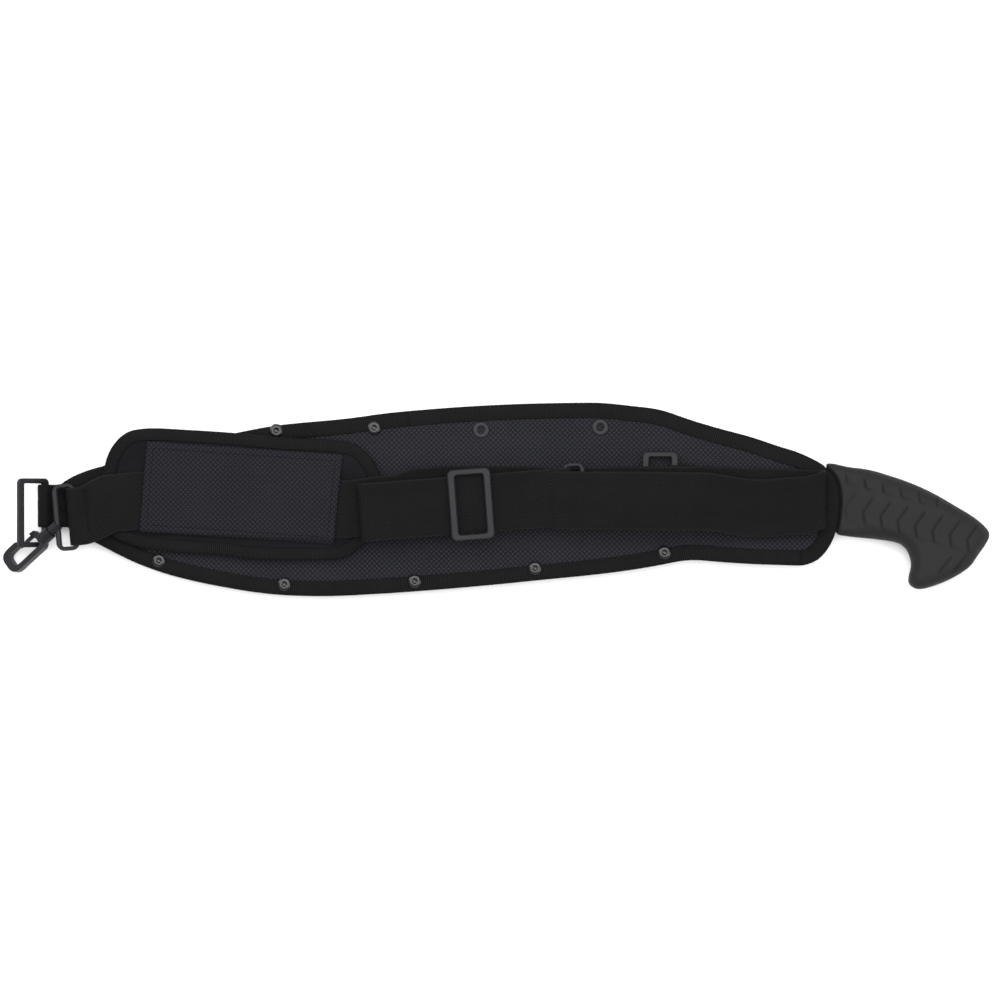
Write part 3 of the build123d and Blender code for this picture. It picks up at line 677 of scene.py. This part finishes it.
ring_profile = [(2.0, BACK_INNER - 1.0), (2.9, BACK_INNER - 1.0), (2.9, RIM_HIGH), (5.5, RIM_HIGH),
                (5.5, RIM_HIGH + 0.3), (5.3, RIM_HIGH + 0.65), (4.8, RIM_HIGH + 0.88),
                (3.9, RIM_HIGH + 0.95), (3.0, RIM_HIGH + 0.85), (2.4, RIM_HIGH + 0.6),
                (2.05, RIM_HIGH + 0.2), (2.0, BACK_INNER - 1.0)]
cap_profile = [(0.2, RIM_LOW - 1.5), (2.5, RIM_LOW - 1.5), (4.6, RIM_LOW - 1.35),
               (5.5, RIM_LOW - 0.95), (5.8, RIM_LOW - 0.45), (5.8, RIM_LOW), (1.5, RIM_LOW),
               (1.5, 4.9), (0.1, 4.9)]


def hollow(profile, centres):
    """Like lathe, for a closed profile round a through hole."""
    verts, faces = lathe(profile, centres)
    return verts, [f for f in faces if len(f) == 4]


piece("eyelets", *hollow(ring_profile, snaps), "sheath", "snap_metal", snap, ("snap_eyelets",))
piece("snap_covers", *lathe(cap_profile, snaps), "sheath", "snap_metal", gloss, ("snap_caps",))

# ------------------------------------------------------------------ strap
WEB = tape_section(WEB_W, WEB_T)


def along_y(points):
    """A smooth function y(x) through the given points."""
    table = [Vector(p) for p in points]

    def y_at(x):
        if x <= table[0].x:
            return table[0].y
        if x >= table[-1].x:
            return table[-1].y
        for a, b in zip(table, table[1:]):
            if a.x <= x <= b.x:
                return a.y + (b.y - a.y) * smooth_step(x, a.x, b.x)
    return y_at


lower_y = along_y([(-75, -4.8), (-43, -1.6), (-22, 3.4), (0, 5.3), (40, 4.8), (75, 3.0), (113, 4.4),
                   (160, 4.4), (205, 3.2), (246, 1.8)])
upper_y = along_y([(61, 1.1), (100, 0.9), (160, 0.4), (200, -4.2), (228, -2.4), (246, 1.8)])


def plane_y(x0, y0, degrees):
    slope = math.tan(math.radians(degrees))
    return lambda x: y0 + (x - x0) * slope


RETURN_TURN, PAD_TURN = 4.4, -2.5
CREASE_X = 63.4
return_y = plane_y(10.7, -1.5, RETURN_TURN)
pad_y = plane_y(-139.5, -2.0, PAD_TURN)
end_y = along_y([(-256, -9.9), (-247, -9.4), (-222, -0.4), (-205, 0.85)])

# The strap's side route, leg by leg. Corners are (x, z, radius).
end_leg = [(-237.8, 16.9, 1), (-242.2, 16.9, 0.9), (-246.2, 12.62, 0.9), (-253.2, 12.62, 3.9),
           (-253.2, 20.58, 3.9), (-243.2, 20.3, 2), (-232, 18.9, 6), (-205, RUN_Z, 6)]
low_leg = [(-64, RUN_Z, 6), (-28, RUN_Z, 20), (-4, FLAT_Z, 20), (106, FLAT_Z, 20), (122, 17.2, 8),
           (138, 22.24, 8), (152, 22.24, 12), (180, FLAT_Z, 12), (243, FLAT_Z, 3.2)]
up_leg = [(243, 19.4, 3.2), (225, 17.0, 30), (199, 15.6, 8), (150, 27.5, 26), (132, 31.0, 26),
          (100, UPPER_Z, 18), (66.2, UPPER_Z, 2),
          (CREASE_X, UPPER_Z - 0.9, 0.8), (60.6, UPPER_Z, 2)]
back_leg = [(-6, UPPER_Z, 20), (-30, 27.6, 20), (-61.4, 27.6, 3.1), (-61.4, 21.3, 3.1),
            (-30, 21.3, 20), (-4, 15.4, 20), (77.4, 14.3, 4.2), (77.4, 22.86, 4.2), (68, 22.9, 2),
            (53, 17.3, 2), (-4, 17.3, 18), (-30, 23.2, 18), (-56.5, 23.2, 1.2), (-56.5, 25.7, 1.2),
            (-50, 25.7, 10)]

# The strap folds back at its far end, and its upper layer ends at the crease on the slider.
route = rounded(end_leg + low_leg + up_leg + back_leg)
fold = max(range(len(route)), key=lambda i: route[i].x)
upper_layer = range(fold + 1, min(fold + 150, len(route)))
crease = min(upper_layer, key=lambda i: abs(route[i].x - CREASE_X))


def strap_y(i, x):
    if x < -205 and i < fold:
        return end_y(x)
    if i < fold:
        t = smooth_step(x, -95, -60)
        return pad_y(x) * (1 - t) + lower_y(x) * t if x < -60 else lower_y(x)
    if i < crease:
        return upper_y(x)
    return return_y(x)


def strap_heading(i, x):
    if i < fold:
        if x < -205:
            return math.radians(5 + 12 * smooth_step(x, -250, -232) - 19.5 * smooth_step(x, -228, -205))
        return math.radians(-2.5 + 8 * smooth_step(x, -70, -40) - 5.5 * smooth_step(x, -10, 20))
    if i < crease:
        return math.radians(RETURN_TURN * (1 - smooth_step(x, 58, 110))
                            - 2.0 * (smooth_step(x, 160, 185) - smooth_step(x, 200, 225)))
    return math.radians(RETURN_TURN)


strap_path = web_stations(route, strap_y, strap_heading)
verts, faces, along = sweep(strap_path, WEB, False)
piece("strap", verts, faces, "sheath", "webbing", webbing,
      ("strap_end", "strap_pad_run", "strap_long_run", "strap_return"), along)

zigzag = [Vector((-243.2 + 3.2 * k / 26 + (1.2 if k % 2 else -1.2), 9 - 30 * k / 26, 20.95))
          for k in range(27)]
verts, faces = stitches(zigzag, [(0, 0, 1)] * len(zigzag), 1.7, 1.3, 0.6, 0.45)
piece("strap_end_stitch", verts, faces, "sheath", "webbing", thread_look)

# The tail leaves the fixed fold and follows the slider, low enough to pass under the layer above.
tail_route = rounded([(-50, 25.7, 1), (-38, 25.7, 8), (-24, 24.3, 8), (14.55, 24.45, 1.9),
                      (14.55, 19.15, 1.9), (-2, 19.2, 1)])
tail_path = web_stations(tail_route, lambda i, x: return_y(x),
                         lambda i, x: math.radians(RETURN_TURN))
verts, faces, along = sweep(tail_path, WEB, False)
tail = piece("strap_tail", verts, faces, None, "webbing", webbing, ("slider_tail",), along)
Vector((-38, return_y(-38), 25)) * MM
Vector((-6, return_y(-6), 25)) * MM
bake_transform(tail)


def ring_tab(name, bar, y, tail_x, width, node):
    """Webbing doubled round a ring's held bar."""
    x, z = bar
    r = math.hypot(RING_BAR_W, RING_BAR_T) / 2 + 0.3 + WEB_T / 2
    half = WEB_T / 2 + 0.05
    path = rounded([(tail_x, z - half, 1), (x + 4.6, z - half, 1), (x + 1.2, z - r, 1),
                    (x - r, z - r, r - 0.1), (x - r, z + r, r - 0.1), (x + 1.2, z + r, 1),
                    (x + 4.6, z + half, 1), (tail_x, z + half, 1)], 0.8)
    stations = web_stations(path, lambda i, q: y, lambda i, q: 0.0)
    verts, faces, along = sweep(stations, tape_section(width, WEB_T, 3), False)
    piece(name, verts, faces, "sheath", "webbing", webbing, (node,), along)


ring_tab("tip_loop_tape", (-270.0, MID), -2.6, -252.0, 28.0, "tip_tab")
ring_tab("side_loop_tape", (144.5, 16.42), 10.2, 158.0, 28.0, "side_tab")

# ------------------------------------------------------------------ shoulder pad
pad = even(smoothed(even(spline(
    [(-233, -8), (-232.6, 8), (-231, 17.8), (-228.4, 29.9), (-223, 39.3), (-214.9, 46.1),
     (-202.8, 48.4), (-174.5, 47.4), (-143.5, 45.3), (-115.2, 42.7), (-73.5, 40), (-62.7, 36.6),
     (-54.6, 28.5), (-47.6, 13.7), (-46.8, 2), (-50, -12), (-57.3, -25.3), (-66.7, -33.5),
     (-73.5, -37), (-85.6, -38.1), (-135.4, -37.5), (-148.9, -35.4), (-174.5, -33.5),
     (-201.4, -30.8), (-216.3, -26.7), (-228, -20)], closed=True), 2.0, True), 2), 2.0, True)
pad.reverse()
pad_in = inward(pad)
pad_edge = nearest_edge(pad)
pad_line = [p + n * 1.0 for p, n in zip(pad, pad_in)]
patch_corners = [Vector(q) for q in ((-202.1, 40), (-73.5, 31.2), (-79.5, -28.1), (-206.8, -19.3))]


def pad_top(x, y, d):
    crown = (PAD_TOP - 0.1 - PAD_RIM) * smooth_step(d, 5.0, 20.0)
    return PAD_RIM + crown - 0.25 * sag(x, y, 5.0) * smooth_step(d, 6, 16)


def pad_low(x, y, d):
    return PAD_LOW + 0.15 * sag(x, y, 9.0)


body = quilt(pad_line, (2.5, 5, 7.5, 10, 13, 16), 6.0, pad_top, pad_low)
pad_piece = piece("pad_cushion", *body, "pad", "pad_cloth", foam_cloth, ("pad_body",))

pad_run = [(Vector((p.x, p.y, 0)), Vector((n.x, n.y, 0)), Vector((0, 0, 1))) for p, n in
           zip(pad, pad_in)]
verts, faces, along = sweep(pad_run, folded_tape(PAD_LOW + 0.8, PAD_RIM + 0.1, 8.0), True)
piece("pad_tape", verts, faces, "pad", "binding_tape", tape, ("pad_binding",), along)
seam(pad_run + pad_run[:1], 6.4, PAD_RIM + 0.1 + BIND_T, (0, 0, 1), "pad_stitch_back", "pad")

tl, tr, br, bl = patch_corners
SLEEVE_LENGTH, SLEEVE_WIDTH = 129.0, 60.0


def sleeve_point(s, t):
    """A point of the sleeve: s runs left to right, t from its lower edge to its upper one."""
    low, high = bl.lerp(br, s), tl.lerp(tr, s)
    return low.lerp(high, t)


def sleeve_height(x, y, edge):
    v = (y - pad_y(x)) * math.cos(math.radians(PAD_TURN))
    base = pad_top(x, y, pad_edge(Vector((x, y)))) + 0.15
    top = RUN_Z + WEB_T / 2 + 0.35
    lift = 1 - smooth_step(v, 20.0, 29.0) if v > 0 else 1 - smooth_step(-v, 19.4, 22.6)
    dip = 0.35 * math.exp(-((edge - 4.6) / 1.2) ** 2)
    wave = 0.3 * noise.noise(Vector((x / 16.0, y / 12.0, 4.0)))
    return base + (top - base) * lift - dip * (1 - 0.4 * lift) + wave * (0.35 + 0.65 * (1 - lift))


cols, rows = 90, 52
verts, faces = [], []
for j in range(rows + 1):
    for i in range(cols + 1):
        q = sleeve_point(i / cols, j / rows)
        span = (tr - tl).length
        edge = min(i / cols * span, (1 - i / cols) * span, j / rows * SLEEVE_WIDTH,
                   (1 - j / rows) * SLEEVE_WIDTH)
        z = sleeve_height(q.x, q.y, edge)
        verts.append((q.x, q.y, z + 1.0 - 0.35 * math.exp(-(edge / 0.5) ** 2)))
top_count = len(verts)
for x, y, z in list(verts):
    verts.append((x, y, z - 0.9))
w = cols + 1
for j in range(rows):
    for i in range(cols):
        a = j * w + i
        faces.append((a, a + 1, a + w + 1, a + w))
        faces.append((top_count + a, top_count + a + w, top_count + a + w + 1, top_count + a + 1))
border = (list(range(w)) + [j * w + cols for j in range(1, rows + 1)]
          + [rows * w + i for i in range(cols - 1, -1, -1)] + [j * w for j in range(rows - 1, 0, -1)])
for a, b in zip(border, border[1:] + border[:1]):
    faces.append((b, a, top_count + a, top_count + b))
piece("pad_sleeve", verts, faces, "pad", "sleeve_cloth", sleeve, ("pad_patch",))


def sleeve_seam(name, inset_mm):
    """A row of stitches round the sleeve, set in from its border."""
    s0, t0 = inset_mm / SLEEVE_LENGTH, inset_mm / SLEEVE_WIDTH
    loop = ([(s0 + (1 - 2 * s0) * k / 60, t0) for k in range(60)]
            + [(1 - s0, t0 + (1 - 2 * t0) * k / 30) for k in range(30)]
            + [(1 - s0 - (1 - 2 * s0) * k / 60, 1 - t0) for k in range(60)]
            + [(s0, 1 - t0 - (1 - 2 * t0) * k / 30) for k in range(31)])
    line = []
    for s, t in loop:
        q = sleeve_point(s, t)
        line.append(Vector((q.x, q.y, sleeve_height(q.x, q.y, inset_mm) + 1.0)))
    verts, faces = stitches(line, [(0, 0, 1)] * len(line), 2.9, 2.1, 0.6, 0.42)
    piece(name, verts, faces, "pad", "sleeve_cloth", thread_look)


sleeve_seam("sleeve_stitch", 4.6)

# ------------------------------------------------------------------ machete
grip_line = even(smoothed(even(
    spline([(252.2, -21.8), (262.1, -23.1), (277.3, -24.6), (287.9, -26.1), (294, -28.1),
            (297.7, -31.8), (300, -37.9), (300.4, -42.4), (298.8, -49.2), (298.5, -53),
            (300.8, -56), (305.3, -57.6), (316.7, -54.9), (328, -50), (339.4, -42.4),
            (344.7, -34.8), (350, -27.3), (352.4, -21), (347, -14), (339.4, -8.3), (331.8, -3.8),
            (316.7, 5), (301.5, 12.1), (286.4, 17.4), (272.7, 21.3), (259.1, 23.1), (248.5, 25.4),
            (244.2, 25.5)])[:-1]
    + spline([(244.2, 25.5), (245.8, 17.1), (248.6, 6.5), (249.2, -4.5), (248.2, -14.6),
              (252.2, -21.8)])[:-1],
    1.2, True), 2), 1.2, True)


TREAD_X, TREAD_PITCH, MARK_PITCH = 279.5, 11.4, 11.9


def tread(x, y, edge):
    """Relief and foot shade of the grip's arrowhead steps and its smaller marks by the spine."""
    rise = y + 9.8 + (x - TREAD_X) * 0.268
    u = x - 0.59 * max(rise, 0.0) - 0.12 * max(-rise, 0.0)
    k = (u - TREAD_X) / TREAD_PITCH
    fade = smooth_step(rise, -9.5, -5.5) * (1 - smooth_step(rise, 9.0, 14.0))
    fade *= smooth_step(edge, 1.5, 5.0)
    high = foot = 0.0
    if -2.1 < k < 5.9:
        phase = k - math.floor(k)
        fade *= 0.55 + 0.45 * smooth_step(k, -2.0, 0.5)
        foot = math.exp(-((phase - 0.985) / 0.05) ** 2) + math.exp(-((phase + 0.015) / 0.05) ** 2)
        high = (0.85 * smooth_step(phase, 0.0, 0.09) * (1 - phase) - 0.5 * foot) * fade
        foot *= fade
    row = rise - 15.5
    if 0 < row < 8 and 256 < x < 322:
        m = (x - 257.0 + 0.12 * row) / MARK_PITCH
        phase = m - math.floor(m)
        tip = smooth_step(row, 0, 1.5) * (1 - smooth_step(row, 6.0, 8.0)) * smooth_step(edge, 1.2, 3.0)
        mark = math.exp(-((phase - 0.06) / 0.06) ** 2) * tip
        high += 0.7 * smooth_step(phase, 0.06, 0.16) * (1 - smooth_step(phase, 0.2, 0.75)) * tip
        high -= 0.4 * mark
        foot = max(foot, 0.8 * mark)
    for cx, cy in ((332.0, -40.0), (322.0, -41.5)):
        v = (x - cx) * 0.78 - (y - cy) * 0.62
        w = (x - cx) * 0.62 + (y - cy) * 0.78
        mark = math.exp(-(v / 0.8) ** 2) * (1 - smooth_step(abs(w), 5.0, 8.0))
        high -= 0.5 * mark
        foot = max(foot, 0.8 * mark)
    return high, foot


def clear_of_sheath(x, y):
    """How far a point lies outside the sheath, less than nothing inside it."""
    if x > 266:
        return 12.0
    p = Vector((x, y))
    return sheath_edge(p) * (-1 if inside(p, sheath) else 1)


def grip_half(x, y):
    swell = 5.2 + (11.1 - 5.2) * smooth_step(x, 252.0, 284.0)
    swell = 1.6 + (swell - 1.6) * smooth_step(clear_of_sheath(x, y), 0.3, 2.0)
    return swell * math.sqrt(max(0.05, 1 - smooth_step(x, 336.0, 357.0) ** 2 * 0.75))


def grip_side(x, y, d):
    half = grip_half(x, y)
    t = min(1.0, d / min(9.5, half * 1.1))
    return half * (1 - (1 - t) ** 2.3) ** (1 / 2.3) + tread(x, y, d)[0] * smooth_step(half, 5.0, 7.0)


def grip_skin(x, y, d):
    """How far the grip's surface stands from its middle plane."""
    return grip_side(x, y, d) if d > 0 else 0.01


grip = quilt(grip_line, (0.35, 0.9, 1.7, 2.7, 3.8), 0.85,
             lambda x, y, d: MID + grip_skin(x, y, d), lambda x, y, d: MID - grip_skin(x, y, d))
grip_edge = nearest_edge(grip_line)
shade = [(tread(x, y, grip_edge(Vector((x, y))))[1], 0.0, 0.0) for x, y, _ in grip[0]]
piece("grip_moulding", *grip, "machete", "grip_rubber", rubber, ("grip",), shade)

# The blade, ground thin along its edge.
blade_line = even(
    spline([(66, 39.5), (-53, 23.5), (-170, 6), (-243, -5)])[:-1]
    + spline([(-243, -5), (-215, -24), (-150, -41), (-80, -45), (0, -31), (110, -16), (180, -15),
              (236, -17)])[:-1]
    + [Vector((236, -17)), Vector((247, -17)), Vector((259, -17)), Vector((259, 0)), Vector((259, 17))]
    + spline([(258, 17), (236, 18.8), (150, 27), (66, 39.5)])[:-1], 2.5, True)
ground = spline([(-243, -5), (-215, -24), (-150, -41), (-80, -45), (0, -31), (110, -16), (180, -15),
                 (200, -15.4)])
ground_tree = kdtree.KDTree(len(ground))
for i, p in enumerate(ground):
    ground_tree.insert((p.x, p.y, 0), i)
ground_tree.balance()


EDGE_HALF, GROUND_RISE, SPINE_HALF = 0.12, 1.26, 1.38
GROUND_END_X = 215


def blade_half(x, y):
    """Half the blade's thickness: thin at the ground edge, full at the spine and the heel."""
    if x >= GROUND_END_X:
        return SPINE_HALF
    away = ground_tree.find((x, y, 0))[2]
    return EDGE_HALF + GROUND_RISE * smooth_step(away, 0.0, 15.0) ** 0.8


blade = quilt(blade_line, (1.2, 3, 6, 9, 12, 15), 7.0,
              lambda x, y, d: MID + blade_half(x, y), lambda x, y, d: MID - blade_half(x, y))
piece("blade_ground", *blade, "machete", "blade_steel", blade_look, ("blade",))

# ------------------------------------------------------------------ carried-over CAD nodes
for node, look in (("front_liner", liner_look), ("back_liner", liner_look),
                   ("snap_sockets", snap), ("snap_studs", snap), ("tip_ring", plastic),
                   ("side_ring", plastic), ("slider", plastic), ("tip_hook_loop", plastic),
                   ("tip_hook_body", plastic), ("tip_hook_gate", plastic),
                   ("strap_hook_loop", plastic), ("strap_hook_body", plastic),
                   ("strap_hook_gate", plastic)):
    obj = nodes[node]
    obj.data.materials.clear()
    obj.data.materials.append(look)

# ------------------------------------------------------------------ floor, light and camera
grip_foot, grip_x, tip_x = -6.3, 279.0, -243.0
tilt = math.atan2(-grip_foot, grip_x - tip_x)
floor_mesh = bpy.data.meshes.new("floor")
floor_mesh.from_pydata([(-4, -4, 0), (4, -4, 0), (4, 4, 0), (-4, 4, 0)], [], [(0, 1, 2, 3)])
floor = bpy.data.objects.new("floor", floor_mesh)
floor.rotation_euler = (0, tilt, 0)
floor.location = (grip_x * MM, 0, grip_foot * MM)
bpy.context.scene.collection.objects.link(floor)
floor_look = Look("floor", 0.75)
grain = floor_look.cloud(floor_look.place(), 60.0, 3.0)
floor_mesh.materials.append(floor_look.finish(floor_look.blend(grain, (0.86, 0.86, 0.86),
                                                               (0.88, 0.88, 0.88))))


def lamp(name, place, size, power):
    """An area light that faces the origin."""
    data = bpy.data.lights.new(name, "AREA")
    data.size = size
    data.energy = power
    obj = bpy.data.objects.new(name, data)
    obj.location = place
    obj.rotation_euler = (-Vector(place)).to_track_quat("-Z", "Y").to_euler()
    bpy.context.scene.collection.objects.link(obj)


lamp("top_light", (0.1, 0.5, 2.2), 2.2, 70)
lamp("left_light", (-1.6, 0.9, 1.3), 1.2, 22)
lamp("right_light", (1.7, -0.6, 1.2), 1.2, 16)
world = bpy.data.worlds.new("studio")
world.use_nodes = True
world.node_tree.nodes["Background"].inputs["Color"].default_value = (1, 1, 1, 1)
world.node_tree.nodes["Background"].inputs["Strength"].default_value = 0.75
bpy.context.scene.world = world
bpy.context.scene.view_settings.view_transform = "Standard"

cam_data = bpy.data.cameras.new("camera")
sensor, cam_height, frame_width = 36.0, 3.2, 0.66
cam_data.sensor_width = sensor
cam_data.lens = sensor * cam_height / frame_width
cam_data.clip_end = 50
camera = bpy.data.objects.new("camera", cam_data)
camera.location = (0.0297, 0.0013, cam_height)
bpy.context.scene.collection.objects.link(camera)
bpy.context.scene.camera = camera
